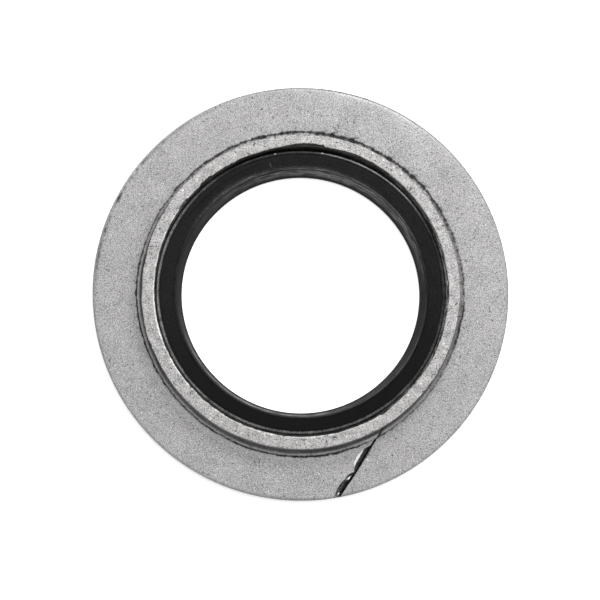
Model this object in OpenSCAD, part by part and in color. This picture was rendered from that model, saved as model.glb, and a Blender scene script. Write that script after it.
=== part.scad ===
// A flanged bushing washer: a sleeve pressed from sheet metal, with a rubber liner bonded inside its hub.
// It lies on the back of its flange. Its axis is Z, the hub stands up along +Z, and the origin is the
// centre of the flange's back face. The flange is split right through, from its edge to the hub.

/* [Liner] */
// Bore of the liner's lip
bore_d = 34.4; // [20:0.1:60]
// Thickness of the liner from its bore to the hub's inside wall
liner_t = 3.8; // [2.6:0.1:6]
// Length of the straight land in the bore
land_len = 0.7; // [0.4:0.1:1.2]
// How much wider the lip's mouth is than its bore, on the radius
lip_flare = 0.9; // [0.3:0.1:1.2]
// Depth of the liner's front corner below the hub's end face
front_recess = 1.2; // [0.6:0.1:1.5]
// Fall of the liner's front face, from its corner to the lip's mouth
front_fall = 0.6; // [0.1:0.1:0.8]
// Width of the groove between the liner's front corner and the hub's wall
groove_w = 0.6; // [0.5:0.1:0.8]
// Depth of the groove below the liner's front corner
groove_depth = 0.8; // [0.3:0.1:1]
// Thickness of the rubber skin that covers the hub's inside wall above the groove
skin_t = 0.2; // [0.1:0.05:0.3]
// Depth of the skin's edge below the hub's end face
skin_recess = 0.25; // [0.15:0.05:0.5]
// Width of the raised bead along the liner's front corner
bead_w = 0.5; // [0.4:0.05:0.8]
// Height of that bead above the front face beside it
bead_h = 0.15; // [0.05:0.05:0.25]
// Height of the liner's back face above the flange's back face
back_recess = 0.4; // [0.2:0.1:0.8]
// Rounding of the liner's free corners
liner_round = 0.15; // [0.05:0.05:0.25]

/* [Sleeve] */
// Thickness of the sheet that the sleeve is pressed from
sheet_t = 2; // [1.4:0.1:2.6]
// Thickness of the hub's wall, which the pressing draws thinner than the flange
hub_wall_t = 1.65; // [1.3:0.05:2.2]
// Height of the hub above the flange's front face
hub_h = 3.6; // [3:0.1:8]
// Width of the flange outside the hub
flange_w = 7.35; // [4:0.05:12]
// Chamfer on the flange's outer edges
rim_chamfer = 0.25; // [0.1:0.05:0.6]
// Radius of the fillet where the hub leaves the flange
root_r = 0.85; // [0.3:0.05:1.2]
// Rounding of the outer edge of the hub's end face
face_round = 0.1; // [0.05:0.05:0.6]
// Rounding of the inner edge of the hub's end face
inner_round = 0.15; // [0.05:0.05:0.4]

/* [Split] */
// Direction of the split's inner end, turned from +X
split_angle = 303; // [0:1:359]
// Lean of the split away from the radius, at the hub
split_lean = 64; // [30:1:70]
// Gap of the split where it is a hairline
split_gap = 0.12; // [0.08:0.01:0.25]
// How far the hairline runs on into the hub's wall
split_run_in = 0.6; // [0.2:0.1:1]
// Length of the chipped stretch near the flange's edge
edge_chip_len = 5.6; // [3:0.1:7]
// Depth of the chipped stretch near the flange's edge
edge_chip_depth = 0.85; // [0.6:0.05:1.2]
// Distance from the flange's edge to the middle of that stretch
edge_chip_at = 1.5; // [0.5:0.1:3]
// Length of the chipped stretch nearer the hub
hub_chip_len = 5.2; // [3:0.1:6]
// Depth of the chipped stretch nearer the hub
hub_chip_depth = 0.75; // [0.6:0.05:1.2]
// Distance from the hub to the middle of that stretch
hub_chip_at = 5.8; // [4:0.1:7]
// How much the torn side closes in from the flange's front to its back
tear_slope = 0.5; // [0.1:0.05:0.55]

/* [Hidden] */
$fn = 128;

// Steps along each rounded corner of the liner
arc_steps = 6;
// How far a cut reaches past the faces that it opens
past = 0.2;

metal_grey = [0.73, 0.72, 0.725];
rubber_black = [0.09, 0.09, 0.09];

bore_r = bore_d / 2;
hub_in_r = bore_r + liner_t;
hub_mid_r = hub_in_r + hub_wall_t / 2;
hub_r = hub_in_r + hub_wall_t;
flange_r = hub_r + flange_w;
total_h = sheet_t + hub_h;
// The bend's back ends where the fillet ends on the flange
bend_r = root_r + hub_wall_t;

mouth_r = bore_r + lip_flare;
front_corner_r = hub_in_r - groove_w;
front_z = total_h - front_recess;
mouth_z = front_z - front_fall;
groove_z = front_z - groove_depth;
skin_r = hub_in_r - skin_t;
skin_z = total_h - skin_recess;
bead_in_r = front_corner_r - bead_w;
land_z = back_recess + liner_round + land_len;

// Length of the split from the hub's wall to the flange's edge
split_offset = hub_r * sin(split_lean);
split_len = sqrt(flange_r * flange_r - split_offset * split_offset) - hub_r * cos(split_lean);

// Direction of a vector, with length 1
function unit(v) = v / norm(v);

// A plane vector turned by an angle
function turned(v, angle) = [
    v.x * cos(angle) - v.y * sin(angle),
    v.x * sin(angle) + v.y * cos(angle)
];

// Points of an arc that rounds the corner between two neighbouring points
function rounded(before, corner, after, r) =
    let (
        u = unit(before - corner),
        v = unit(after - corner),
        half = acos(u * v) / 2,
        centre = corner + unit(u + v) * r / sin(half),
        start = corner + u * r / tan(half) - centre,
        sweep = (180 - 2 * half) * sign(cross(v, u))
    )
    [for (i = [0 : arc_steps]) centre + turned(start, sweep * i / arc_steps)];

// Radius of the chip's arc, from its length along the split and its depth
function chip_radius(len, depth) = (len * len / 4 + depth * depth) / (2 * depth);

// What rounding takes off a square corner at the origin, of material to the left and below
module corner_cut(r) {
    translate([-r, -r])
        difference() {
            square(r + past);
            circle(r);
        }
}

// What a chamfer takes off a square corner at the origin, of material to the left and below
module corner_chamfer(c) {
    polygon([[-c, 0], [0, -c], [past, -c], [past, past], [-c, past]]);
}

// What a fillet adds in a square corner at the origin, open to the right and above
module corner_fill(r) {
    difference() {
        square(r);
        translate([r, r])
            circle(r);
    }
}

// Half section of the sleeve: the sheet runs up the hub, round the bend and out along the flange
module sleeve_section() {
    difference() {
        union() {
            translate([hub_in_r, 0])
                square([flange_r - hub_in_r, sheet_t]);
            translate([hub_in_r, 0])
                square([hub_wall_t, total_h]);
            translate([hub_r, sheet_t])
                corner_fill(root_r);
        }
        translate([flange_r, sheet_t])
            corner_chamfer(rim_chamfer);
        translate([flange_r, 0])
            mirror([0, 1])
                corner_chamfer(rim_chamfer);
        translate([hub_r, total_h])
            corner_cut(face_round);
        translate([hub_in_r, total_h])
            mirror([1, 0])
                corner_cut(inner_round);
        translate([hub_in_r, 0])
            rotate(180)
                corner_cut(bend_r);
    }
}

// Half section of the liner: what lies inside the sleeve's own section fits its wall and its bend
module liner_section() {
    groove_end = [skin_r, groove_z];
    front_corner = [front_corner_r, front_z];
    bead_top = [bead_in_r + bead_h, front_z];
    bead_foot = [bead_in_r, front_z - bead_h];
    mouth = [mouth_r, mouth_z];
    land_end = [bore_r, land_z];
    back_corner = [bore_r, back_recess];
    back_end = [hub_r, back_recess];
    difference() {
        polygon(concat(
            [[skin_r, skin_z], groove_end],
            rounded(groove_end, front_corner, bead_top, liner_round),
            [bead_top, bead_foot],
            rounded(bead_foot, mouth, land_end, liner_round),
            [land_end],
            rounded(land_end, back_corner, back_end, liner_round),
            [back_end, [hub_mid_r, skin_z]]
        ));
        sleeve_section();
    }
}

// A chipped stretch of the split's torn side, an arc in plan that closes in towards the flange's back
module chip(at, len, depth) {
    r = chip_radius(len, depth);
    slope_per_mm = tear_slope / sheet_t;
    translate([at, r - depth, -past])
        cylinder(
            h = sheet_t + 2 * past,
            r1 = r - tear_slope - slope_per_mm * past,
            r2 = r + slope_per_mm * past
        );
}

// The split, laid along +X from the hub's wall, with its straight side on X and its torn side below
module split_shape() {
    cut_len = split_len + edge_chip_len;
    intersection() {
        translate([-split_run_in, -hub_r, -past])
            cube([split_run_in + cut_len, hub_r, sheet_t + root_r + past]);
        union() {
            translate([-hub_r, -split_gap, -2 * past])
                cube([hub_r + 2 * cut_len, 2 * split_gap, sheet_t + root_r + 4 * past]);
            chip(hub_chip_at, hub_chip_len, hub_chip_depth);
            chip(split_len - edge_chip_at, edge_chip_len, edge_chip_depth);
        }
    }
}

// The split where it lies on the flange
module split() {
    rotate(split_angle)
        translate([hub_r, 0, 0])
            rotate(-split_lean)
                split_shape();
}

module flanged_sleeve() {
    color(metal_grey)
        difference() {
            rotate_extrude()
                sleeve_section();
            split();
        }
}

module rubber_liner() {
    color(rubber_black)
        rotate_extrude()
            liner_section();
}

flanged_sleeve();
rubber_liner();
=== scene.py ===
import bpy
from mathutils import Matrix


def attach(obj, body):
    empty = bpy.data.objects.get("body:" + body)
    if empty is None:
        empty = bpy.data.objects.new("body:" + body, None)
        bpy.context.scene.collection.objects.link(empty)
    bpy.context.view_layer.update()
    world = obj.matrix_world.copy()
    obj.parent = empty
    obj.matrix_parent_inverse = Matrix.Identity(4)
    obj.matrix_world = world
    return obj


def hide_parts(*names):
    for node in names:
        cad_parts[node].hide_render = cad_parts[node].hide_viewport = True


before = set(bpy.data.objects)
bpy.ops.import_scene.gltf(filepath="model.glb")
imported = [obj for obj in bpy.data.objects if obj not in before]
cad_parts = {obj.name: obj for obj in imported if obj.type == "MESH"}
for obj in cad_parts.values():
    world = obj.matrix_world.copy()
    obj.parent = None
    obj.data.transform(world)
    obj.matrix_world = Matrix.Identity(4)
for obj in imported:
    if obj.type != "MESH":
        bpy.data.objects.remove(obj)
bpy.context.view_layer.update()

import math
import random

import bmesh
import bpy
from mathutils import Matrix, Vector

mm = 0.001
fullTurn = 2 * math.pi
sharpAngle = math.radians(38)


# smooth noise on a ring, from -1 to 1, the same on every run
def ringNoise(knots, seed):
    rng = random.Random(seed)
    values = [rng.uniform(-1, 1) for _ in range(knots)]

    def at(angle):
        place = (angle / fullTurn) % 1 * knots
        first = int(place) % knots
        share = place - int(place)
        share = share * share * (3 - 2 * share)
        return values[first] * (1 - share) + values[(first + 1) % knots] * share

    return at


# three sizes of ring noise in one, for ragged edges
def raggedNoise(seed, coarse):
    layers = [
        (0.5, ringNoise(coarse, seed)),
        (0.3, ringNoise(coarse * 3, seed + 1)),
        (0.2, ringNoise(coarse * 6, seed + 2)),
    ]
    return lambda angle: sum(share * layer(angle) for share, layer in layers)


def smoothStep(low, high, x):
    share = min(max((x - low) / (high - low), 0), 1)
    return share * share * (3 - 2 * share)


# straight lines between the points of a short table
def fromTable(table, x):
    if x <= table[0][0]:
        return table[0][1]
    for (x0, y0), (x1, y1) in zip(table, table[1:]):
        if x <= x1:
            return y0 + (y1 - y0) * (x - x0) / (x1 - x0)
    return table[-1][1]


def angleGap(a, b):
    return (a - b + math.pi) % fullTurn - math.pi


# points of an arc in the half section, both ends in
def arcPoints(centre, radius, start, end, steps):
    angles = [math.radians(start + (end - start) * i / steps) for i in range(steps + 1)]
    return [(centre[0] + radius * math.cos(a), centre[1] + radius * math.sin(a)) for a in angles]


def makeObject(name, points, faces, zones, materials, values):
    mesh = bpy.data.meshes.new(name)
    mesh.from_pydata([[c * mm for c in p] for p in points], [], faces)
    for material in materials:
        mesh.materials.append(material)
    mesh.polygons.foreach_set("material_index", zones)
    for key, column in values.items():
        mesh.attributes.new(key, "FLOAT", "POINT").data.foreach_set("value", column)
    work = bmesh.new()
    work.from_mesh(mesh)
    bmesh.ops.recalc_face_normals(work, faces=work.faces)
    work.to_mesh(mesh)
    work.free()
    mesh.shade_smooth()
    mesh.set_sharp_from_angle(angle=sharpAngle)
    piece = bpy.data.objects.new(name, mesh)
    bpy.context.collection.objects.link(piece)
    return piece


# sockets take a number or a colour, or are joined to a socket of another node
def setSockets(tree, node, values):
    for key, value in values.items():
        if isinstance(value, bpy.types.NodeSocket):
            tree.links.new(value, node.inputs[key])
        else:
            node.inputs[key].default_value = (*value, 1) if isinstance(value, tuple) else value


def addNode(tree, kind, values=None, **settings):
    node = tree.nodes.new(kind)
    for key, value in settings.items():
        setattr(node, key, value)
    setSockets(tree, node, values or {})
    return node


def addSockets(group, inputs, outputs):
    for name, value in inputs.items():
        socket = group.interface.new_socket(name, in_out="INPUT", socket_type="NodeSocketFloat")
        socket.default_value = value
    for name in outputs:
        group.interface.new_socket(name, in_out="OUTPUT", socket_type="NodeSocketFloat")


# grain of the metal: a speckled shade, dark pits, bright specks and a height for the bump
def makeGrainGroup():
    group = bpy.data.node_groups.new("blastedGrain", "ShaderNodeTree")
    defaults = {
        "Grain Scale": 4200, "Pit Scale": 1700, "Pit Level": 0.64, "Mottle Scale": 320, "Mottle": 0.22,
    }
    addSockets(group, defaults, ["Shade", "Pits", "Sparks", "Height"])
    given = addNode(group, "NodeGroupInput").outputs
    place = addNode(group, "ShaderNodeTexCoord").outputs["Object"]
    fine = addNode(group, "ShaderNodeTexNoise", {
        "Vector": place, "Scale": given["Grain Scale"], "Detail": 2.5, "Roughness": 0.7,
    })
    broad = addNode(group, "ShaderNodeTexNoise", {
        "Vector": place, "Scale": given["Mottle Scale"], "Detail": 3,
    })
    pit = addNode(group, "ShaderNodeTexNoise", {
        "Vector": place, "Scale": given["Pit Scale"], "Detail": 1.5,
    })
    spread = addNode(group, "ShaderNodeMapRange", {
        "Value": fine.outputs["Fac"], "From Min": 0.3, "From Max": 0.7,
    })
    centred = addNode(group, "ShaderNodeMath", {0: broad.outputs["Fac"], 1: 0.5}, operation="SUBTRACT")
    shade = addNode(group, "ShaderNodeMath", {
        0: centred.outputs[0], 1: given["Mottle"], 2: spread.outputs["Result"],
    }, operation="MULTIPLY_ADD").outputs[0]
    level = {0: pit.outputs["Fac"], 1: given["Pit Level"]}
    deeper = addNode(group, "ShaderNodeMath", level, operation="SUBTRACT")
    pits = addNode(group, "ShaderNodeMapRange", {
        "Value": deeper.outputs[0], "From Max": 0.06,
    }).outputs["Result"]
    # the other end of the same noise gives bright specks
    risen = addNode(group, "ShaderNodeMath", level, operation="ADD")
    sparks = addNode(group, "ShaderNodeMapRange", {
        "Value": risen.outputs[0], "From Min": 0.98, "From Max": 0.9,
    }).outputs["Result"]
    height = addNode(group, "ShaderNodeMath", {0: shade, 1: pits}, operation="SUBTRACT").outputs[0]
    addNode(group, "NodeGroupOutput", {"Shade": shade, "Pits": pits, "Sparks": sparks, "Height": height})
    return group


# fine lines that run round the axis, as moulded rubber has
def makeStreakGroup():
    group = bpy.data.node_groups.new("mouldStreaks", "ShaderNodeTree")
    addSockets(group, {"Line Scale": 1400}, ["Streaks"])
    given = addNode(group, "NodeGroupInput").outputs
    place = addNode(group, "ShaderNodeTexCoord").outputs["Object"]
    parts = addNode(group, "ShaderNodeSeparateXYZ", {0: place}).outputs
    flat = addNode(group, "ShaderNodeCombineXYZ", {"X": parts["X"], "Y": parts["Y"]}).outputs[0]
    radius = addNode(group, "ShaderNodeVectorMath", {0: flat}, operation="LENGTH").outputs["Value"]
    outward = addNode(group, "ShaderNodeVectorMath", {0: flat}, operation="NORMALIZE").outputs[0]
    around = addNode(group, "ShaderNodeVectorMath", {
        0: outward, "Scale": 0.0035,
    }, operation="SCALE").outputs[0]
    climb = addNode(group, "ShaderNodeMath", {0: radius, 1: parts["Z"]}, operation="ADD").outputs[0]
    lift = addNode(group, "ShaderNodeCombineXYZ", {"Z": climb}).outputs[0]
    total = addNode(group, "ShaderNodeVectorMath", {0: around, 1: lift}, operation="ADD").outputs[0]
    lines = addNode(group, "ShaderNodeTexNoise", {
        "Vector": total, "Scale": given["Line Scale"], "Detail": 4, "Roughness": 0.6,
    })
    addNode(group, "NodeGroupOutput", {"Streaks": lines.outputs["Fac"]})
    return group


grainGroup = makeGrainGroup()
streakGroup = makeStreakGroup()
print("stage 1: shader groups made")


def newMaterial(name):
    material = bpy.data.materials.new(name)
    material.use_nodes = True
    tree = material.node_tree
    return material, tree, tree.nodes["Principled BSDF"]


def blendColours(tree, mask, below, above):
    return addNode(tree, "ShaderNodeMix", {"Factor": mask, 6: below, 7: above}, data_type="RGBA").outputs[2]


def addBump(tree, height, look):
    return addNode(tree, "ShaderNodeBump", {
        "Strength": look["bump"], "Distance": look["bumpDepth"] * mm, "Height": height,
    }).outputs["Normal"]


# matte metal with grain, pits and specks; a mask of painted shade darkens it, and a mask of burnish and
# painted light brightens it and makes it glossier
def makeMetal(name, look):
    material, tree, shader = newMaterial(name)
    grain = addNode(tree, "ShaderNodeGroup", node_tree=grainGroup)
    setSockets(tree, grain, {
        "Grain Scale": look["grainScale"], "Pit Scale": look["pitScale"], "Pit Level": look["pitLevel"],
        "Mottle Scale": look["mottleScale"], "Mottle": look["mottle"],
    })
    paintedShade = addNode(tree, "ShaderNodeAttribute", attribute_name="paintedShade")
    burnishAndPaintedLight = addNode(tree, "ShaderNodeAttribute", attribute_name="burnishAndPaintedLight")
    colour = blendColours(tree, grain.outputs["Shade"], look["dark"], look["light"])
    colour = blendColours(tree, grain.outputs["Pits"], colour, look["pit"])
    colour = blendColours(tree, grain.outputs["Sparks"], colour, look["spark"])
    colour = blendColours(tree, paintedShade.outputs["Fac"], colour, look["paintedShade"])
    colour = blendColours(tree, burnishAndPaintedLight.outputs["Fac"], colour, look["bright"])
    rough = addNode(tree, "ShaderNodeMapRange", {
        "Value": grain.outputs["Shade"], "To Min": look["rough"][1], "To Max": look["rough"][0],
    })
    gloss = addNode(tree, "ShaderNodeMapRange", {
        "Value": burnishAndPaintedLight.outputs["Fac"], "To Min": rough.outputs["Result"], "To Max": look["lipRough"],
    })
    setSockets(tree, shader, {
        "Base Color": colour, "Roughness": gloss.outputs["Result"], "Metallic": look["metallic"],
        "Normal": addBump(tree, grain.outputs["Height"], look),
    })
    return material


# the darkest colour here paints shade, the bright one paints highlights and light
flangeLook = {
    "dark": (0.072, 0.07, 0.071), "light": (0.475, 0.466, 0.471), "pit": (0.06, 0.058, 0.059),
    "spark": (0.54, 0.53, 0.535), "paintedShade": (0.012, 0.012, 0.012), "bright": (0.95, 0.95, 0.95),
    "grainScale": 7400, "pitScale": 3200, "pitLevel": 0.67, "mottleScale": 320, "mottle": 0.25,
    "rough": (0.5, 0.68), "lipRough": 0.22, "metallic": 0.35, "bump": 0.35, "bumpDepth": 0.03,
}
hubLook = dict(
    flangeLook, dark=(0.1, 0.098, 0.097), light=(0.48, 0.471, 0.468), pit=(0.07, 0.068, 0.067),
    spark=(0.58, 0.57, 0.57),
    grainScale=5000, pitScale=2600, pitLevel=0.645, mottleScale=900, mottle=0.75,
)
# a darker copy of the metal for the walls inside the split: painted shade
shadedTornLook = dict(
    flangeLook, dark=(0.015, 0.015, 0.015), light=(0.17, 0.17, 0.168), pit=(0.005, 0.005, 0.005),
    spark=(0.3, 0.3, 0.3),
    grainScale=5200, pitScale=2600, pitLevel=0.6, rough=(0.5, 0.7), metallic=0.2,
)


# black rubber with fine lines, pale where it is worn and where light is painted on it, coated where it is
# shiny
def makeRubber(name, look):
    material, tree, shader = newMaterial(name)
    streaks = addNode(tree, "ShaderNodeGroup", node_tree=streakGroup)
    setSockets(tree, streaks, {"Line Scale": look["lineScale"]})
    grain = addNode(tree, "ShaderNodeGroup", node_tree=grainGroup)
    setSockets(tree, grain, {"Grain Scale": look["wearScale"]})
    wearAndPaintedLight = addNode(tree, "ShaderNodeAttribute", attribute_name="wearAndPaintedLight").outputs["Fac"]
    gloss = addNode(tree, "ShaderNodeAttribute", attribute_name="gloss").outputs["Fac"]
    spread = addNode(tree, "ShaderNodeMapRange", {
        "Value": streaks.outputs["Streaks"], "From Min": 0.4, "From Max": 0.6,
    }).outputs["Result"]
    paleMask = addNode(tree, "ShaderNodeMath", {0: wearAndPaintedLight, 1: grain.outputs["Shade"]}, operation="MULTIPLY")
    colour = blendColours(tree, spread, look["dark"], look["light"])
    colour = blendColours(tree, paleMask.outputs[0], colour, look["wornAndPaintedLight"])
    rough = addNode(tree, "ShaderNodeMapRange", {
        "Value": spread, "To Min": look["rough"][0], "To Max": look["rough"][1],
    })
    broken = addNode(tree, "ShaderNodeMapRange", {"Value": spread, "To Min": look["glossBreak"]})
    coat = addNode(tree, "ShaderNodeMath", {0: gloss, 1: broken.outputs["Result"]}, operation="MULTIPLY")
    setSockets(tree, shader, {
        "Base Color": colour, "Roughness": rough.outputs["Result"], "Specular IOR Level": look["specular"],
        "Coat Weight": coat.outputs[0], "Coat Roughness": look["glossRough"],
        "Normal": addBump(tree, streaks.outputs["Streaks"], look),
    })
    return material


rubberLook = {
    "dark": (0.002, 0.002, 0.002), "light": (0.0055, 0.0055, 0.0053), "wornAndPaintedLight": (0.5, 0.5, 0.495),
    "wearScale": 5200, "lineScale": 2300, "rough": (0.55, 0.7), "specular": 0.05, "glossRough": 0.18,
    "glossBreak": 0.15, "bump": 0.25, "bumpDepth": 0.02,
}
flashLook = dict(
    rubberLook, dark=(0.004, 0.004, 0.004), light=(0.032, 0.031, 0.03), lineScale=3200, rough=(0.4, 0.6),
)

flangeMetal = makeMetal("flangeMetal", flangeLook)
hubMetal = makeMetal("hubFaceMetal", hubLook)
shadedTornMetal = makeMetal("shadedTornMetal", shadedTornLook)
linerRubber = makeRubber("linerRubber", rubberLook)
flashRubber = makeRubber("flashRubber", flashLook)
print("stage 2: materials made")


# the pressed sleeve, sizes in mm
sleeve = {
    "hubInside": 21.0, "hubOutside": 22.65, "edge": 30.0, "sheet": 2.0, "top": 5.6,
    "rootRadius": 0.85, "faceRound": 0.1, "innerRound": 0.15,
    "columnStep": 0.19, "finePart": 16, "coarseStride": 4,
    "creaseDepth": 0.18, "creaseWander": 0.12, "creaseStart": (1.1, 2.6),
    "cornerLift": 0.12, "liftAlong": (4.0, 0.2), "liftOut": (26.5, 23.4),
    "faceWander": 0.07, "innerWander": 0.08,
    # rows of the hub: heights inside it, then shares of its end face, of its wall and of the fillet's foot
    "insideRows": (3.4, 4.3, 5.0), "faceRows": (0.06, 0.15, 0.27, 0.42, 0.6, 0.78, 0.9),
    "wallRows": (0.2, 0.4, 0.6, 0.8), "footRows": (0.14, 0.28, 0.42, 0.56, 0.7, 0.85, 1), "footTurn": 236,
    # rows of the flange: radii close to the root, evenly spaced ones, the last one, and those round the rim
    "nearRoot": [23.54, 23.58, 23.62, 23.66, 23.7, 23.75, 23.8, 23.86, 23.93],
    "evenFrom": 24.0, "evenStep": 0.13, "evenRows": 44, "lastRow": 29.72,
    "rimRows": [
        (29.86, 1.965), (29.96, 1.87), (30.0, 1.72), (30.0, 1.4), (30.0, 1.0),
        (30.0, 0.55), (30.0, 0.28), (29.96, 0.13), (29.86, 0.035),
    ],
    # columns beside the split, by their distance from it
    "nearSplit": [0, 0.05, 0.11, 0.18, 0.27, 0.38, 0.52, 0.68, 0.86],
    # radii and heights over which shifts, painted shade and painted light come in
    "faceOut": (22.1, 22.5), "faceUp": (4.4, 5.4), "innerIn": (21.5, 21.2), "edgeIn": (21.6, 21.15),
    "edgeUp": (4.7, 5.4), "rootOut": (23.1, 23.5), "shadeOut": (22.95, 23.4), "footOut": (24.6, 23.7),
    # painted shade on the hub's wall, and how far out it reaches at the foot, by angle in degrees
    "wallShade": [
        (0, 0.2), (40, 0.6), (90, 0.7), (200, 0.6), (225, 0.38), (262, 0.5), (290, 0.6), (320, 0.45),
        (360, 0.2),
    ],
    "shadeFoot": [
        (0, 22.95), (45, 23.08), (90, 23.08), (135, 23.02), (150, 23.12), (165, 23.08), (180, 23.16),
        (200, 22.97), (225, 22.94), (262, 23.0), (290, 23.0), (330, 22.9), (360, 22.95),
    ],
    # how far the hub's inner edge lies out or in at the end face, by angle in degrees
    "edgeShift": [
        (0, 0.05), (30, 0.05), (60, 0.12), (90, 0), (110, -0.14), (135, -0.16), (150, -0.1),
        (180, -0.1), (195, -0.1), (215, -0.2), (245, -0.19), (280, -0.18), (300, -0.05), (315, -0.14),
        (335, -0.02), (360, 0.05),
    ],
    # how far the end face's outer edge lies out or in, and how ragged it is, by angle in degrees
    "faceShift": [
        (0, 0.13), (8, 0.14), (18, 0.08), (28, 0), (145, 0), (157, 0.03), (165, 0), (180, 0.08),
        (195, 0.1), (210, 0.05), (225, 0), (330, 0), (345, 0.06), (355, 0.12), (360, 0.13),
    ],
    "faceRagged": [
        (0, 2), (30, 1.2), (60, 1), (120, 1), (145, 1.8), (200, 1.8), (230, 1), (320, 1), (360, 2),
    ],
    # painted shade on the fillet, by angle in degrees
    "rootShade": [
        (0, 0.3), (20, 0.26), (36, 0.4), (60, 0.3), (90, 0.2), (120, 0.3), (150, 0.2), (180, 0.05),
        (225, 0), (290, 0), (310, 0.08), (330, 0.2), (350, 0.38), (360, 0.3),
    ],
    # how strong the crease and its painted shade are, how far out it lies and half its width, by angle in
    # degrees
    "creaseFade": [
        (0, 0.55), (20, 0.5), (36, 0.9), (60, 1), (90, 1), (120, 0.8), (150, 0.55), (165, 0.6),
        (180, 0.75), (225, 0.85), (262, 1), (292, 1), (302, 0.5), (325, 0.45), (338, 0.45), (348, 0.8),
        (360, 0.55),
    ],
    "creaseOut": [
        (0, 0.06), (25, 0.12), (45, 0.18), (70, 0.16), (90, 0.14), (115, 0.05), (135, -0.01),
        (155, 0.02), (165, 0.01), (180, 0.12), (200, -0.12), (225, -0.17), (262, -0.1), (292, -0.05),
        (310, -0.1), (335, -0.16), (350, 0.01), (360, 0.08),
    ],
    "creaseHalf": [
        (0, 0.18), (20, 0.25), (35, 0.32), (60, 0.34), (75, 0.32), (90, 0.28), (120, 0.2), (150, 0.17),
        (180, 0.15), (225, 0.12), (262, 0.17), (280, 0.21), (294, 0.2), (302, 0.14), (330, 0.13),
        (360, 0.18),
    ],
    # painted light on the bands beside the crease and a painted highlight on the hub's inner edge, by angle
    # in degrees
    "bandShine": [
        (140, 0), (165, 0.18), (180, 0.2), (225, 0.32), (262, 0.35), (295, 0.25), (315, 0.12), (345, 0),
    ],
    "footShine": [(190, 0), (205, 0.1), (225, 0.14), (262, 0.14), (285, 0.1), (300, 0)],
    "edgeShine": [(120, 0), (145, 0.2), (200, 0.2), (225, 0.14), (290, 0.16), (310, 0)],
    # the rim lies a little off centre, from this radius outwards
    "rimAside": (0.09, 0.31), "asideFrom": 26.5,
    # where the rim's own rows begin, radii of its crest, and the angle where its dark line moves outwards
    "rimFrom": 29.4, "rimHeight": 1.5, "crest": (29.8, 29.9), "lineTurn": 110,
    # painted light on the flange towards the rim, and the radii over which it comes in
    "rimGlow": 0.22, "glowOut": (27.4, 29.3),
    # a band just inside the rim's edge, by radius
    "rimBand": [(29.46, 0.45), (29.59, 1), (29.72, 0.6), (29.86, 0)],
    # painted shade and painted highlight on that band, then painted light on its crest and a line of painted
    # shade on it, by angle in degrees
    "rimShade": [
        (105, 0), (120, 0.25), (135, 0.55), (150, 0.95), (165, 0.7), (180, 0.18), (192, 0), (262, 0),
        (270, 0.06), (280, 0),
    ],
    "rimShine": [(22, 0), (30, 0.03), (45, 0.09), (60, 0.19), (75, 0.24), (90, 0.1), (102, 0)],
    "rimTop": [
        (105, 0), (120, 0.1), (135, 0.25), (150, 0.2), (165, 0), (190, 0), (205, 0.1), (240, 0.1),
        (255, 0.04), (298, 0.04), (315, 0.1), (332, 0),
    ],
    "rimLine": [
        (0, 0), (30, 0.05), (45, 0.1), (60, 0.45), (80, 0.5), (95, 0.2), (105, 0), (150, 0), (165, 0.1),
        (180, 0.05), (195, 0.3), (210, 0.3), (225, 0.2), (240, 0.1), (255, 0.25), (270, 0.45),
        (285, 0.25), (298, 0),
    ],
}
# the split through its flange, distances measured along it from a point beside the hub
split = {
    "base": 22.86, "angle": 301, "lean": 62, "gap": 0.28, "backGap": 0.02, "deepShade": 0.9,
    "torn": [
        (0.28, 0.35), (2.2, 0.35), (2.95, 0.4), (3.3, 0.62), (3.65, 0.84), (4.1, 0.86), (4.8, 0.83),
        (5.67, 0.86), (6.53, 0.76), (7.05, 0.55), (7.38, 0.4), (7.6, 0.7), (7.95, 0.88), (8.6, 0.98),
        (8.85, 0.93), (9.2, 1.09), (10, 1.15), (10.85, 1.05), (11.6, 0.92),
    ],
    # how far the other side has given way
    "bulge": [(3.0, 0), (3.5, 0.14), (4.0, 0.16), (5.0, 0.13), (5.7, 0.1), (6.3, 0)],
    # how far the torn side has closed in, by depth as a share of the sheet
    "slope": [(0, 0), (0.07, 0.12), (0.14, 0.28), (0.3, 0.5), (0.5, 0.62), (0.75, 0.8), (1, 1)],
    # how wide the lip of the torn side is, a burnish with a painted highlight, along the split, as a share of
    # its width
    "lip": [(2.4, 0), (2.8, 0.6), (3.3, 1), (4.0, 1), (4.8, 0.7), (5.5, 0.25), (6.0, 0)],
    "lipWidth": 0.47, "lipDrop": 0.12, "crackDepth": 0.25, "crackHalf": 0.36, "crackLean": 2.0,
    "crackUp": (5.5, 5.1), "striation": 0.07, "ribOut": (23.6, 24.4), "rimSlope": 2.2,
    # where along it the split opens and where its torn side is steep, and how far the search for it goes
    "opens": (1.02, 1.3), "steep": 2, "steepRun": (4.0, 2.4), "tornWander": 0.03,
    "farEnd": 14.0, "halvings": 40,
    # ledges of the torn side with painted highlights, place and half length, and depths over which ledges and
    # painted shade come in
    "glints": [(7.9, 0.4), (10.8, 0.32)], "ledgeTop": (0.13, 0.28), "ledgeFoot": (0.5, 0.31),
    "shadeDeep": (0.35, 0.6), "shadeEdge": (0.1, 0.03),
}

splitAngle = math.radians(split["angle"])
splitWay = math.radians(split["angle"] - split["lean"])
splitAlong = split["base"] * math.cos(math.radians(split["lean"]))
splitOffset = split["base"] * math.sin(math.radians(split["lean"]))
tornNoise = ringNoise(60, 31)


def splitPlace(run, width):
    x = split["base"] * math.cos(splitAngle) + run * math.cos(splitWay) + width * math.sin(splitWay)
    y = split["base"] * math.sin(splitAngle) + run * math.sin(splitWay) - width * math.cos(splitWay)
    return x, y


# the hub's inner edge is a little off centre at the end face
def edgeShift(angle):
    return fromTable(sleeve["edgeShift"], math.degrees(angle) % 360)


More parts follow.
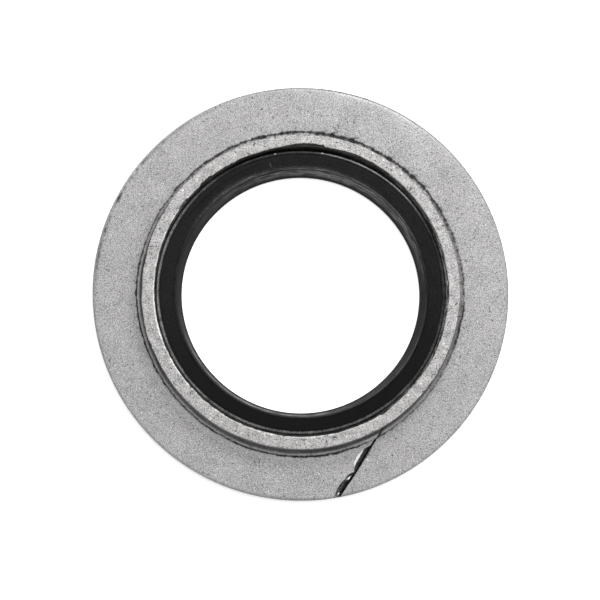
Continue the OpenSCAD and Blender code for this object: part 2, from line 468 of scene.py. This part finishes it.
def straightRun(radius):
    return math.sqrt(radius ** 2 - splitOffset ** 2) - splitAlong


# the straight side, which bulges at the front and not at the back
def straightAngle(radius, depth=0):
    run = straightRun(radius)
    x, y = splitPlace(run, -fromTable(split["bulge"], run) * (1 - depth))
    return math.atan2(y, x) % fullTurn


# gap of the split, from its front where closing is 0 to its back where it is 1
def tornWidth(run, closing):
    opening = smoothStep(*split["opens"], run)
    closing **= 1 + split["steep"] * smoothStep(*split["steepRun"], run)
    front = max(fromTable(split["torn"], run), split["gap"]) + split["tornWander"] * tornNoise(run * 0.5)
    return (front * (1 - closing) + split["backGap"] * closing) * opening


# where the torn side crosses a circle of this radius
def tornPlace(radius, closing):
    low, high = 0.0, split["farEnd"]
    for _ in range(split["halvings"]):
        run = (low + high) / 2
        reach = (run + splitAlong) ** 2 + (splitOffset - tornWidth(run, closing)) ** 2
        if reach < radius ** 2:
            low = run
        else:
            high = run
    return run


def tornAngle(radius, closing):
    run = tornPlace(radius, closing)
    x, y = splitPlace(run, tornWidth(run, closing))
    return math.atan2(y, x) % fullTurn


# half section of the hub, from the flange's back round to the root on its front
def hubSection():
    s = sleeve
    root = s["hubOutside"] + s["rootRadius"]
    bend = root - s["hubInside"]
    rows = arcPoints((root, bend), bend, 270, 180, 8)
    rows += [(s["hubInside"], z) for z in s["insideRows"]]
    inner = (s["hubInside"] + s["innerRound"], s["top"] - s["innerRound"])
    rows += arcPoints(inner, s["innerRound"], 180, 90, 3)
    flatFrom, flatTo = inner[0], s["hubOutside"] - s["faceRound"]
    rows += [(flatFrom + (flatTo - flatFrom) * share, s["top"]) for share in s["faceRows"]]
    rows += arcPoints((flatTo, s["top"] - s["faceRound"]), s["faceRound"], 90, 0, 5)
    fillet = (root, s["sheet"] + s["rootRadius"])
    wallFrom, wallTo = s["top"] - s["faceRound"], fillet[1]
    rows += [(s["hubOutside"], wallFrom + (wallTo - wallFrom) * share) for share in s["wallRows"]]
    rows += arcPoints(fillet, s["rootRadius"], 180, s["footTurn"], 6)
    low = root + s["rootRadius"] * math.cos(math.radians(s["footTurn"]))
    for share in s["footRows"]:
        r = low + (root - low) * share
        rows.append((r, fillet[1] - math.sqrt(max(s["rootRadius"] ** 2 - (root - r) ** 2, 0))))
    return rows


def makeSleeve():
    s = sleeve
    root = s["hubOutside"] + s["rootRadius"]
    hubRows = hubSection()
    nearRoot, rimRows = s["nearRoot"], s["rimRows"]
    evenRows = [s["evenFrom"] + s["evenStep"] * i for i in range(s["evenRows"])]
    stations = nearRoot + evenRows + [s["lastRow"]]
    coarse = list(range(len(nearRoot))) + list(range(len(nearRoot), len(stations) - 2, s["coarseStride"]))
    coarse += [len(stations) - 3, len(stations) - 2, len(stations) - 1]

    # columns are closer together beside the split
    ringLength = fullTurn * root
    near = s["nearSplit"]
    middle = int((ringLength - 2 * near[-1]) / s["columnStep"])
    step = (ringLength - 2 * near[-1]) / middle
    marks = near + [near[-1] + step * i for i in range(1, middle)]
    marks += [ringLength - mark for mark in reversed(near)]
    shares = [mark / ringLength for mark in marks]
    last = len(shares) - 1
    fine = s["finePart"]

    points, paintedShade, burnishAndPaintedLight = [], [], []
    wander, deep, fineDeep = raggedNoise(11, 150), raggedNoise(21, 90), ringNoise(700, 24)
    faceEdge, innerEdge = raggedNoise(41, 60), raggedNoise(51, 110)
    rootAngle = straightAngle(root)

    # the rim's circle lies off centre, so radii shift a little towards it
    def addPoint(r, z, angle, shadeAmount=0.0, shine=0.0):
        across, up = s["rimAside"]
        aside = across * math.cos(angle) + up * math.sin(angle)
        r += aside * smoothStep(s["asideFrom"], s["edge"], r)
        points.append((r * math.cos(angle), r * math.sin(angle), z))
        paintedShade.append(min(max(shadeAmount, 0), 1))
        burnishAndPaintedLight.append(min(max(shine, 0), 1))
        return len(points) - 1

    # depth of the jagged crease round the root, and the painted shade in it
    def crease(r, angle):
        away = angleGap(angle, rootAngle) * root
        degrees = math.degrees(angle) % 360
        fade = fromTable(s["creaseFade"], degrees) * (smoothStep(*s["creaseStart"], -away) if away < 0 else 1)
        wave = wander(angle) + 0.5 * fineDeep(angle + 1.7)
        middleR = root + fromTable(s["creaseOut"], degrees) + s["creaseWander"] * wave
        half = fromTable(s["creaseHalf"], degrees) * (1 + 0.5 * deep(angle) + 0.35 * fineDeep(angle))
        depth = s["creaseDepth"] * (0.75 + 0.6 * deep(angle) + 0.35 * fineDeep(angle)) * fade
        shape = max(0, 1 - abs(r - middleR) / half)
        return max(depth, 0) * shape, (1.6 + 0.7 * fineDeep(angle)) * shape * fade

    # the flange's corner beside the split stands up a little
    def cornerLift(r, angle):
        away = -angleGap(angle, rootAngle) * root
        if away < -0.01:
            return 0
        return s["cornerLift"] * smoothStep(*s["liftAlong"], away) * smoothStep(*s["liftOut"], r)

    # the hub, whose rows are closed rings
    wallFoot, wallTop = s["sheet"] + s["rootRadius"], s["top"] - s["faceRound"]
    crackFoot = straightAngle(s["hubOutside"])
    topAngle = crackFoot + math.radians(split["crackLean"])
    grid = []
    topRow = max(range(len(hubRows)), key=lambda i: (hubRows[i][1], -hubRows[i][0]))
    for i, (r, z) in enumerate(hubRows):
        outside = i > topRow and z <= wallTop
        if outside and z <= wallFoot:
            seam = straightAngle(r)
        elif outside:
            seam = crackFoot + (topAngle - crackFoot) * (z - wallFoot) / (wallTop - wallFoot)
        elif i <= topRow:
            seam = rootAngle + (topAngle - rootAngle) * i / topRow
        else:
            seam = topAngle
        ring = []
        for j in range(last):
            angle = seam + fullTurn * shares[j]
            spread = min(marks[j], ringLength - marks[j])
            rr, zz, shadeAmount = r, z, 0.0
            if outside and r > s["rootOut"][0]:
                drop, shadeAmount = crease(r, angle)
                zz += cornerLift(r, angle) * smoothStep(*s["rootOut"], r) - drop
            degrees, shine = math.degrees(angle) % 360, 0.0
            ragged = s["faceWander"] * fromTable(s["faceRagged"], degrees) * faceEdge(angle)
            ragged += fromTable(s["faceShift"], degrees)
            rr += ragged * smoothStep(*s["faceOut"], r) * smoothStep(*s["faceUp"], z)
            if z == s["top"]:
                rr += s["innerWander"] * innerEdge(angle) * smoothStep(*s["innerIn"], r)
            if z > s["edgeUp"][0]:
                rr += edgeShift(angle) * smoothStep(*s["edgeIn"], r) * smoothStep(*s["edgeUp"], z)
            if outside:
                # painted shade on the hub's wall, darker towards its foot
                foot = fromTable(s["shadeFoot"], degrees) + 0.08 * deep(angle)
                low = smoothStep(wallTop, wallFoot, z)
                streak = 0.3 * deep(angle + 0.02 * z) + 0.25 * fineDeep(angle + 0.3 * z)
                shadow = fromTable(s["wallShade"], degrees) * (0.45 + 0.75 * low) * (1 + streak)
                shadow *= smoothStep(foot + 0.1, foot - 0.08, r)
                # painted shade on the fillet
                speckle = 1 + 1.3 * deep(angle) + 0.9 * fineDeep(angle + 0.4 * r)
                graded = 0.45 + 0.9 * smoothStep(*s["shadeOut"], r)
                shadow = max(shadow, fromTable(s["rootShade"], degrees) * speckle * graded)
                # the crack is cut in and painted dark as shade
                crackHalf = split["crackHalf"] * (0.3 + 0.7 * low)
                crack = smoothStep(crackHalf, 0.3 * crackHalf, spread) * smoothStep(*split["crackUp"], z)
                rr -= split["crackDepth"] * crack
                zz -= split["crackDepth"] * crack * (z < wallFoot)
                shadeAmount = max(shadeAmount, crack, shadow)
                # painted light on a band beside the crease
                band = max(0, 1 - abs(r - foot - 0.22) / 0.17) * (1 - crack)
                shine = fromTable(s["bandShine"], degrees) * band * (1 + 0.6 * deep(angle))
            # a painted highlight on the hub's inner edge
            if abs(r - s["hubInside"]) < 0.2 and s["top"] - 0.12 < z:
                shine = fromTable(s["edgeShine"], degrees) * (1 + 1.2 * innerEdge(angle))
            ring.append(addPoint(rr, zz, angle, shadeAmount, shine))
        grid.append(ring + [ring[0]])

    # the flange, whose rows end at the two sides of the split
    def openRow(r, z, closing, columns):
        start = straightAngle(r, closing)
        end = tornAngle(r, closing) + fullTurn
        while end - start > fullTurn + 0.01:
            end -= fullTurn
        run = straightRun(r)
        row = {}
        for j in columns:
            angle = start + (end - start) * shares[j]
            zz, shadeAmount, shine = z, 0.0, 0.0
            degrees = math.degrees(angle) % 360
            if r > s["rimFrom"] and z > s["rimHeight"]:
                # painted shade and painted highlight on the band inside the rim's edge, painted light on its
                # crest
                band, (crestIn, crestOut) = fromTable(s["rimBand"], r), s["crest"]
                onLine = r > (crestIn if degrees < s["lineTurn"] else crestOut)
                shadeAmount = fromTable(s["rimShade"], degrees) * band + fromTable(s["rimLine"], degrees) * onLine
                shadeAmount *= 0.8 + 1.2 * deep(angle) + 0.6 * fineDeep(angle)
                onCrest = crestIn < r < crestOut
                shine = fromTable(s["rimShine"], degrees) * band + fromTable(s["rimTop"], degrees) * onCrest
            elif z == s["sheet"]:
                drop, shadeAmount = crease(r, angle)
                zz += cornerLift(r, angle) - drop
                # painted light on the flange beside the crease and towards the rim
                shine = fromTable(s["footShine"], degrees) * smoothStep(*s["footOut"], r) * (1 - min(shadeAmount, 1))
                shine += s["rimGlow"] * fromTable(s["rimShine"], degrees) * smoothStep(*s["glowOut"], r)
                # the torn side's lip, lowered, is a burnish with a painted highlight
                edgeGap = (1 - shares[j]) * ringLength
                lipWide = split["lipWidth"] * fromTable(split["lip"], run)
                if edgeGap < lipWide:
                    zz -= split["lipDrop"] * (1 - edgeGap / lipWide) ** 1.5
                    shine = max(shine, smoothStep(0, 0.3, 1 - edgeGap / lipWide))
            row[j] = addPoint(r, zz, angle, shadeAmount, shine)
        return row

    everyColumn = list(range(last + 1))
    sideColumns = everyColumn[:fine + 1] + everyColumn[-fine - 1:]
    coarseSet = set(coarse)
    front, back = [], []
    for k, r in enumerate(stations):
        columns = everyColumn if k in coarseSet else sideColumns
        front.append(openRow(r, s["sheet"], 0, columns))
        back.append(openRow(r, 0.0, 1, columns))
    depths = [1 - z / s["sheet"] for r, z in rimRows]
    rim = [
        openRow(r, z, fromTable(split["slope"], split["rimSlope"] * depth), everyColumn)
        for (r, z), depth in zip(rimRows, depths)
    ]

    faces, zones = [], []

    def addFace(corners, zone):
        corners = [c for n, c in enumerate(corners) if c != corners[n - 1]]
        if len(corners) > 2:
            faces.append(corners)
            zones.append(zone)

    for i in range(len(hubRows) - 1):
        onTop = hubRows[i][1] > s["top"] - 0.2 and hubRows[i + 1][1] > s["top"] - 0.2
        for j in range(last):
            addFace([grid[i][j], grid[i + 1][j], grid[i + 1][j + 1], grid[i][j + 1]], 1 if onTop else 0)

    # flange faces beside the split are fine, the others use every few stations
    def flangeFaces(rows, rootRing):
        for j in list(range(fine)) + list(range(last - fine, last)):
            addFace([rootRing[j], rows[0][j], rows[0][j + 1], rootRing[j + 1]], 0)
            for k in range(len(rows) - 1):
                addFace([rows[k][j], rows[k + 1][j], rows[k + 1][j + 1], rows[k][j + 1]], 0)
        for j in range(fine, last - fine):
            addFace([rootRing[j], rows[0][j], rows[0][j + 1], rootRing[j + 1]], 0)
            for k0, k1 in zip(coarse, coarse[1:]):
                outward = range(k0, k1 + 1) if j == fine else (k0, k1)
                inward = range(k1, k0 - 1, -1) if j + 1 == last - fine else (k1, k0)
                addFace([rows[k][j] for k in outward] + [rows[k][j + 1] for k in inward], 0)

    flangeFaces(front, grid[-1])
    flangeFaces(back, grid[0])
    rimLoop = [front[-1]] + rim + [back[-1]]
    for lower, upper in zip(rimLoop, rimLoop[1:]):
        for j in range(last):
            addFace([lower[j], upper[j], upper[j + 1], lower[j + 1]], 0)

    # the two walls inside the split, the left one torn and ribbed, both with painted shade
    ribs = ringNoise(900, 61)
    inRoot = [addPoint(root, s["sheet"] * (1 - depth), rootAngle) for depth in depths]
    rootLine = [grid[-1][0]] + inRoot + [grid[0][0]]
    for j in (0, last):
        previous = rootLine
        for k, r in enumerate(stations):
            top = points[front[k][j]][2]
            run = straightRun(r)
            wall = [front[k][j]]
            for n, depth in enumerate(depths):
                if j == 0:
                    # the straight wall is painted dark as shade
                    wall.append(addPoint(r, top * (1 - depth), straightAngle(r, depth), split["deepShade"]))
                    continue
                rib = ribs(0.9 * r + 0.002 * n) * smoothStep(*split["ribOut"], r)
                closing = min(max(fromTable(split["slope"], depth) + split["striation"] * rib, 0), 1)
                # a ledge of the torn side, with a painted highlight where it catches the light
                ledge = max(smoothStep(size, 0.5 * size, abs(run - place)) for place, size in split["glints"])
                ledge *= smoothStep(*split["ledgeTop"], depth) * smoothStep(*split["ledgeFoot"], depth)
                # painted shade deep down and along the front edge, darker along the ribs
                dark = max(smoothStep(*split["shadeDeep"], depth), smoothStep(*split["shadeEdge"], depth))
                shadeAmount = split["deepShade"] * dark + 0.4 * rib
                z = top * (1 - depth * (1 - 0.6 * ledge))
                wall.append(addPoint(r, z, tornAngle(r, closing), shadeAmount, ledge))
            wall.append(back[k][j])
            for n in range(len(wall) - 1):
                addFace([previous[n], wall[n], wall[n + 1], previous[n + 1]], 2)
            previous = wall
        ends = [front[-1][j]] + [row[j] for row in rim] + [back[-1][j]]
        for n in range(len(ends) - 1):
            addFace([previous[n], ends[n], ends[n + 1], previous[n + 1]], 2)

    values = {"paintedShade": paintedShade, "burnishAndPaintedLight": burnishAndPaintedLight}
    piece = makeObject("sleeveShell", points, faces, zones, [flangeMetal, hubMetal, shadedTornMetal], values)
    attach(piece, "root")
    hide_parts("flanged_sleeve")
    return piece


sleeveShell = makeSleeve()
print("stage 3: sleeve,", len(sleeveShell.data.polygons), "faces")


# the rubber liner, sizes in mm
liner = {
    "wall": 21.0, "top": 5.6, "columns": 620, "flashMost": 0.42, "flashThick": 0.03,
    "beadOut": 0.1, "beadOval": 0.13, "boreOffset": 0.12, "faceEdge": (19.88, 4.25), "faceFall": 0.245,
    # a line moulded in the front face, and the angles over which it comes in and ends
    "lineDepth": 0.09, "lineStart": (100, 112), "lineEnd": (150, 138),
    # below, only a thin line round the lip is bright: its radius, half its width and its angles
    "narrowAt": 17.65, "narrowHalf": 0.25, "narrowStart": (195, 215), "narrowEnd": (312, 298),
    # radii and heights over which shifts come in, and radii of the bead's crest
    "skinUp": (3.8, 5.4), "grooveUp": (3.6, 4.3), "ovalOut": (18.9, 20.0), "boreUp": (1.3, 3.0),
    "boreIn": (18.6, 17.9), "crest": (20.3, 20.47),
    # small marks: angles of painted glints on the bead, and scratches by angle and both radii, above this
    # height
    "beadGlints": [81.4, 100.7], "spotHalf": 0.3,
    "scratches": [(103.1, 18.6, 19.2), (110.9, 17.9, 18.5)], "scratchWear": 0.15, "scratchFrom": 3,
    # how pale the front face is painted, lighter towards the top as painted light, how shiny and worn the
    # bead is, and a painted highlight on its crest, by angle in degrees
    "facePaintedLight": [
        (0, 0.021), (45, 0.028), (135, 0.026), (180, 0.023), (215, 0.006), (235, 0), (310, 0),
        (340, 0.01), (360, 0.021),
    ],
    "beadGloss": [
        (0, 0.12), (30, 0.3), (44, 0.8), (56, 1), (70, 0.9), (78, 0.35), (100, 0.22), (135, 0.45),
        (165, 0.9), (225, 1), (270, 0.9), (300, 0.5), (315, 0.3), (340, 0.15), (360, 0.12),
    ],
    "beadCrestHighlight": [(32, 0), (44, 0.8), (60, 1), (74, 0.8), (84, 0.15), (110, 0)],
    "beadWear": [
        (0, 0.07), (30, 0.1), (45, 0.23), (70, 0.23), (80, 0.06), (120, 0.06), (150, 0.34), (180, 0.46),
        (225, 0.28), (262, 0.3), (300, 0.2), (330, 0.13), (360, 0.07),
    ],
    # how pale the flash and the skin are, how far out the bore lies, how shiny its lip is, by angle
    "flashWear": [
        (0, 2.6), (30, 1.6), (50, 0.6), (80, 0), (115, 0), (135, 1), (150, 0.5), (180, 0), (290, 0),
        (320, 1.1), (360, 2.6),
    ],
    "skinWear": [(0, 0.45), (8, 0.4), (16, 0.05), (22, 0), (330, 0), (345, 0.4), (360, 0.45)],
    "boreShift": [
        (0, 0.056), (45, 0.02), (90, -0.02), (135, -0.13), (180, -0.1), (225, -0.1), (270, -0.02),
        (315, -0.023), (360, 0.056),
    ],
    "lipGloss": [
        (0, 0.03), (15, 0.3), (30, 0.7), (60, 0.9), (90, 0.9), (120, 0.5), (150, 0.1), (180, 0.05),
        (200, 0.2), (215, 0.9), (240, 1.1), (262, 0.8), (285, 0.8), (300, 0.3), (330, 0.12),
        (360, 0.03),
    ],
    # how shiny the corner between the lip and the front face is, and the painted highlight on it, by angle in
    # degrees
    "mouthGloss": [
        (0, 0.03), (15, 0.3), (30, 0.7), (60, 0.9), (90, 0.9), (120, 0.5), (150, 0.1), (180, 0.05),
        (200, 0.05), (225, 0.12), (262, 0.1), (300, 0.12), (315, 0.2), (330, 0.5), (345, 0.15),
        (360, 0.03),
    ],
    "mouthHighlight": [
        (0, 0.02), (15, 0.03), (30, 0.05), (45, 0.06), (60, 0.1), (75, 0.15), (90, 0.14), (105, 0.1),
        (120, 0.28), (135, 0.16), (150, 0.06), (165, 0.03), (195, 0.02), (210, 0), (345, 0),
        (360, 0.02),
    ],
}
# arcs where the flash reaches over the hub's edge: from, to, reach in mm, degrees over which it fades
flashArcs = [
    (80.8, 100, 0.32, 9), (60, 80, 0.1, 8), (128, 134, 0.16, 1), (141, 147, 0.2, 2), (357, 366, 0.07, 5),
    (20, 28, 0.06, 4), (340, 346, 0.07, 3), (302, 309, 0.14, 3), (225, 231, 0.1, 2),
]


# half section of the liner: radius, height, part, shine, and the share of wear and painted light
def linerSection():
    edgeR, edgeZ = liner["faceEdge"]
    rows = []

    def addRows(part, places):
        for r, z, *amounts in places:
            rows.append((r, z, part, *(amounts or (0, 0))))

    def onFace(r):
        return r, edgeZ - liner["faceFall"] * (edgeR - r)

    addRows("back", arcPoints((23.5, 2.5), 2.5, 237.1, 180, 8))
    addRows("wall", [(21.0, z) for z in (3.6, 4.6, 5.25)])
    addRows("flash", [(21.0, 5.5), (21.06, 5.62), (20.96, 5.6), (20.86, 5.5)])
    addRows("skin", [(20.8, 5.3), (20.8, 4.7), (20.8, 4.1), (20.8, 3.72), (20.77, 3.63)])
    addRows("groove", [(20.72, 3.66), (20.64, 3.95), (20.57, 4.18)])
    addRows("bead", [(r, z, 1, 0.8) for r, z in arcPoints((20.34, 4.26), 0.14, 18, 90, 5)])
    addRows("bead", [(20.24, 4.4, 0.3, 1), (20.15, 4.395, 0, 1), (20.08, 4.36, 0, 0.6)])
    addRows("foot", [(20.01, 4.24), (19.96, 4.22)])
    addRows("face", [(edgeR, edgeZ), onFace(19.6), onFace(19.42)])
    addRows("line", [onFace(19.36), onFace(19.3), onFace(19.24)])
    addRows("face", [onFace(19.18), onFace(18.9), onFace(18.65), (*onFace(18.5), 0, 0.12)])
    addRows("mouth", [(18.36, 3.87, 0.1, 0.35), (18.24, 3.83, 0.6, 0.9), (18.14, 3.76, 1, 1)])
    addRows("mouth", [(18.07, 3.66, 1, 0.4), (18.03, 3.54, 0.9, 0), (18.01, 3.44, 0.4, 0)])
    addRows("step", [(18.04, 3.37), (18.03, 3.3)])
    addRows("cone", [(17.95, 3.22, 0.5, 0), (17.88, 3.05, 1, 0), (17.78, 2.8, 1, 0)])
    addRows("cone", [(17.65, 2.45, 1, 0), (17.52, 2.1, 0.9, 0), (17.4, 1.78, 0.4, 0)])
    addRows("land", [(17.32, 1.5), (17.25, 1.28), (17.2, 1.15), (17.2, 0.9), (17.2, 0.62)])
    addRows("bottom", arcPoints((17.35, 0.55), 0.15, 180, 270, 4))
    addRows("back", [(18.2, 0.4), (19.5, 0.4), (20.8, 0.4)])
    return rows


def makeLiner():
    d = liner
    rows = linerSection()
    columns = d["columns"]
    raggedFlash, thinFlash = raggedNoise(71, 70), ringNoise(500, 75)
    beadNoise, grooveNoise, wearNoise = raggedNoise(81, 40), raggedNoise(91, 120), raggedNoise(95, 130)
    flakeNoise = raggedNoise(101, 90)
    points, gloss, wearAndPaintedLight, faces, zones = [], [], [], [], []

    def flashReach(angle):
        degrees = math.degrees(angle) % 360
        reach = 0.02 + 0.09 * raggedFlash(angle) + 0.03 * thinFlash(angle)
        for first, end, amount, fade in flashArcs:
            place = degrees if degrees >= first else degrees + 360
            if first <= place <= end:
                reach += amount * (1 + 0.15 * thinFlash(angle)) * smoothStep(end, end - fade, place)
        return min(max(reach, -0.1), d["flashMost"])

    # the flash lies over the hub's edge where it reaches out, and ends below it elsewhere
    def flashPlace(step, angle):
        reach, top = flashReach(angle), d["top"]
        if reach > 0:
            return [
                (d["wall"] + reach * 0.9, top - 0.03),
                (d["wall"] + 0.03 + reach, top + d["flashThick"] * 0.6),
                (d["wall"] - 0.02 + reach * 0.5, top + d["flashThick"]),
                (d["wall"] - 0.14, top - 0.05),
            ][step]
        return [
            (d["wall"], top - 0.2 + reach), (d["wall"] - 0.03, top - 0.15 + reach),
            (d["wall"] - 0.08, top - 0.14 + reach), (d["wall"] - 0.14, top - 0.18 + reach),
        ][step]

    flashFrom = [row[2] for row in rows].index("flash")
    for i, (r, z, part, shine, wornAndPaintedLight) in enumerate(rows):
        for j in range(columns):
            angle = fullTurn * j / columns
            degrees = 360 * j / columns
            rr, zz = r, z
            oval = d["beadOut"] + d["beadOval"] * math.cos(2 * angle)
            if part in ("flash", "skin", "groove"):
                flakes = 0.15 + flakeNoise(angle + 0.7 * r + 0.9 * z) + 0.3 * thinFlash(angle + 0.2 * z)
                wornAndPaintedLight = fromTable(d["flashWear"], degrees) * max(0, flakes) * (0.5 if part == "flash" else 1)
                if part == "skin":
                    wornAndPaintedLight += fromTable(d["skinWear"], degrees) * (1 + 0.8 * wearNoise(angle))
            if part == "flash":
                rr, zz = flashPlace(i - flashFrom, angle)
                rr += edgeShift(angle)
            elif part == "bead":
                rr += oval
                zz += 0.02 * beadNoise(angle)
                shine = rows[i][3] * fromTable(d["beadGloss"], degrees)
                wornAndPaintedLight = rows[i][4] * fromTable(d["beadWear"], degrees) * (1 + 0.9 * wearNoise(angle))
                # at the upper right only a thin line on the bead's crest is bright, a painted highlight
                crest = fromTable(d["beadCrestHighlight"], degrees)
                onCrest = d["crest"][0] < r < d["crest"][1]
                wornAndPaintedLight += crest * (0.95 * onCrest * (1 + 0.5 * wearNoise(angle)) - 0.8 * wornAndPaintedLight)
                # painted glints on the bead's crest
                wornAndPaintedLight += sum(2.0 * onCrest * (abs(degrees - spot) < d["spotHalf"]) for spot in d["beadGlints"])
            elif part == "skin":
                rr += 0.02 * grooveNoise(angle) + edgeShift(angle) * smoothStep(*d["skinUp"], z)
            elif part == "groove":
                rr += 0.02 * grooveNoise(angle) + oval * smoothStep(*d["grooveUp"], z)
            elif part in ("foot", "face", "line"):
                rr += oval * smoothStep(*d["ovalOut"], r)
                # painted light: the face paler towards the top, and a painted highlight near the mouth
                wornAndPaintedLight = fromTable(d["facePaintedLight"], degrees) + rows[i][4] * fromTable(d["mouthHighlight"], degrees)
                if part == "line":
                    drop = d["lineDepth"] * smoothStep(*d["lineStart"], degrees)
                    zz -= drop * smoothStep(*d["lineEnd"], degrees)
            elif part in ("mouth", "cone", "land", "bottom"):
                # the lip's mouth is off centre, and its bore a little out of round
                upper = smoothStep(*d["boreUp"], z)
                aside = d["boreOffset"] * math.cos(angle) * upper
                aside += fromTable(d["boreShift"], degrees) * (1 - upper)
                rr += aside * smoothStep(*d["boreIn"], r)
                polished = fromTable(d["mouthGloss" if part == "mouth" else "lipGloss"], degrees)
                narrow = smoothStep(*d["narrowStart"], degrees) * smoothStep(*d["narrowEnd"], degrees)
                polished *= 1 - narrow * min(abs(r - d["narrowAt"]) / d["narrowHalf"], 1)
                shine = rows[i][3] * polished * (1 + 0.35 * beadNoise(angle))
                # a painted highlight on the mouth
                wornAndPaintedLight = rows[i][4] * fromTable(d["mouthHighlight"], degrees) * (1 + 0.6 * wearNoise(angle))
            for spot, low, high in d["scratches"]:
                if abs(degrees - spot) < d["spotHalf"] and low < r < high and z > d["scratchFrom"]:
                    wornAndPaintedLight = d["scratchWear"]
            points.append((rr * math.cos(angle), rr * math.sin(angle), zz))
            gloss.append(shine)
            wearAndPaintedLight.append(max(wornAndPaintedLight, 0))
    count = len(rows)
    for i in range(count):
        for j in range(columns):
            a, b = i * columns, (i + 1) % count * columns
            k = (j + 1) % columns
            faces.append([a + j, b + j, b + k, a + k])
            zones.append(1 if rows[i][2] in ("flash", "skin") else 0)
    values = {"gloss": gloss, "wearAndPaintedLight": wearAndPaintedLight}
    piece = makeObject("linerRing", points, faces, zones, [linerRubber, flashRubber], values)
    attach(piece, "root")
    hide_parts("rubber_liner")
    return piece


linerRing = makeLiner()
print("stage 4: liner,", len(linerRing.data.polygons), "faces")


# floor, light and camera
stageLook = {
    "floor": (0.92, 0.92, 0.92), "floorRough": 0.9, "floorShine": 0.1, "floorGlow": 0.5, "floorSize": 3.0,
    "floorDrop": 0.02, "world": 0.48,
    "key": 0.75, "keyPlace": (0.04, 0.075, 0.235), "keyAim": (0, 0, 0), "keySize": (0.2, 0.2),
}


def makeFloor():
    material, tree, shader = newMaterial("paleFloor")
    setSockets(tree, shader, {
        "Base Color": stageLook["floor"], "Roughness": stageLook["floorRough"],
        "Specular IOR Level": stageLook["floorShine"],
        "Emission Color": (1, 1, 1), "Emission Strength": stageLook["floorGlow"],
    })
    half = stageLook["floorSize"] / 2
    mesh = bpy.data.meshes.new("floor")
    corners = [(-half, -half, 0), (half, -half, 0), (half, half, 0), (-half, half, 0)]
    mesh.from_pydata(corners, [], [(0, 1, 2, 3)])
    mesh.materials.append(material)
    floor = bpy.data.objects.new("floor", mesh)
    floor.location.z = -stageLook["floorDrop"] * mm
    bpy.context.collection.objects.link(floor)


def makeSoftbox(name, place, target, size, power):
    data = bpy.data.lights.new(name, "AREA")
    data.shape = "RECTANGLE"
    data.size, data.size_y = size
    data.energy = power
    lamp = bpy.data.objects.new(name, data)
    lamp.location = place
    lamp.rotation_euler = (Vector(target) - Vector(place)).to_track_quat("-Z", "Y").to_euler()
    lamp.visible_camera = False
    bpy.context.collection.objects.link(lamp)


makeFloor()
makeSoftbox("keySoftbox", stageLook["keyPlace"], stageLook["keyAim"], stageLook["keySize"], stageLook["key"])
world = bpy.data.worlds.new("studio")
world.use_nodes = True
background = world.node_tree.nodes["Background"]
setSockets(world.node_tree, background, {"Color": (1, 1, 1), "Strength": stageLook["world"]})
bpy.context.scene.world = world
bpy.context.scene.view_settings.view_transform = "Standard"

cameraLook = {
    "tilt": 7.3, "yaw": 1.6, "distance": 0.36, "lens": 150, "sensor": 36, "near": 0.01, "far": 20,
    "aim": (-0.06, -0.9, 2.0),
}


def makeCamera():
    c = cameraLook
    data = bpy.data.cameras.new("camera")
    data.lens, data.sensor_width = c["lens"], c["sensor"]
    data.clip_start, data.clip_end = c["near"], c["far"]
    camera = bpy.data.objects.new("camera", data)
    tilt, yaw = math.radians(c["tilt"]), math.radians(c["yaw"])
    back = Vector((-math.sin(yaw), -math.sin(tilt), math.cos(tilt))).normalized()
    camera.location = Vector(c["aim"]) * mm + back * c["distance"]
    sideways = Vector((0, 1, 0)).cross(back).normalized()
    upward = back.cross(sideways)
    turn = [[sideways[n], upward[n], back[n]] for n in range(3)]
    camera.rotation_mode = "QUATERNION"
    camera.rotation_quaternion = Matrix(turn).to_quaternion()
    bpy.context.collection.objects.link(camera)
    bpy.context.scene.camera = camera


makeCamera()
print("stage 5: floor, light and camera")
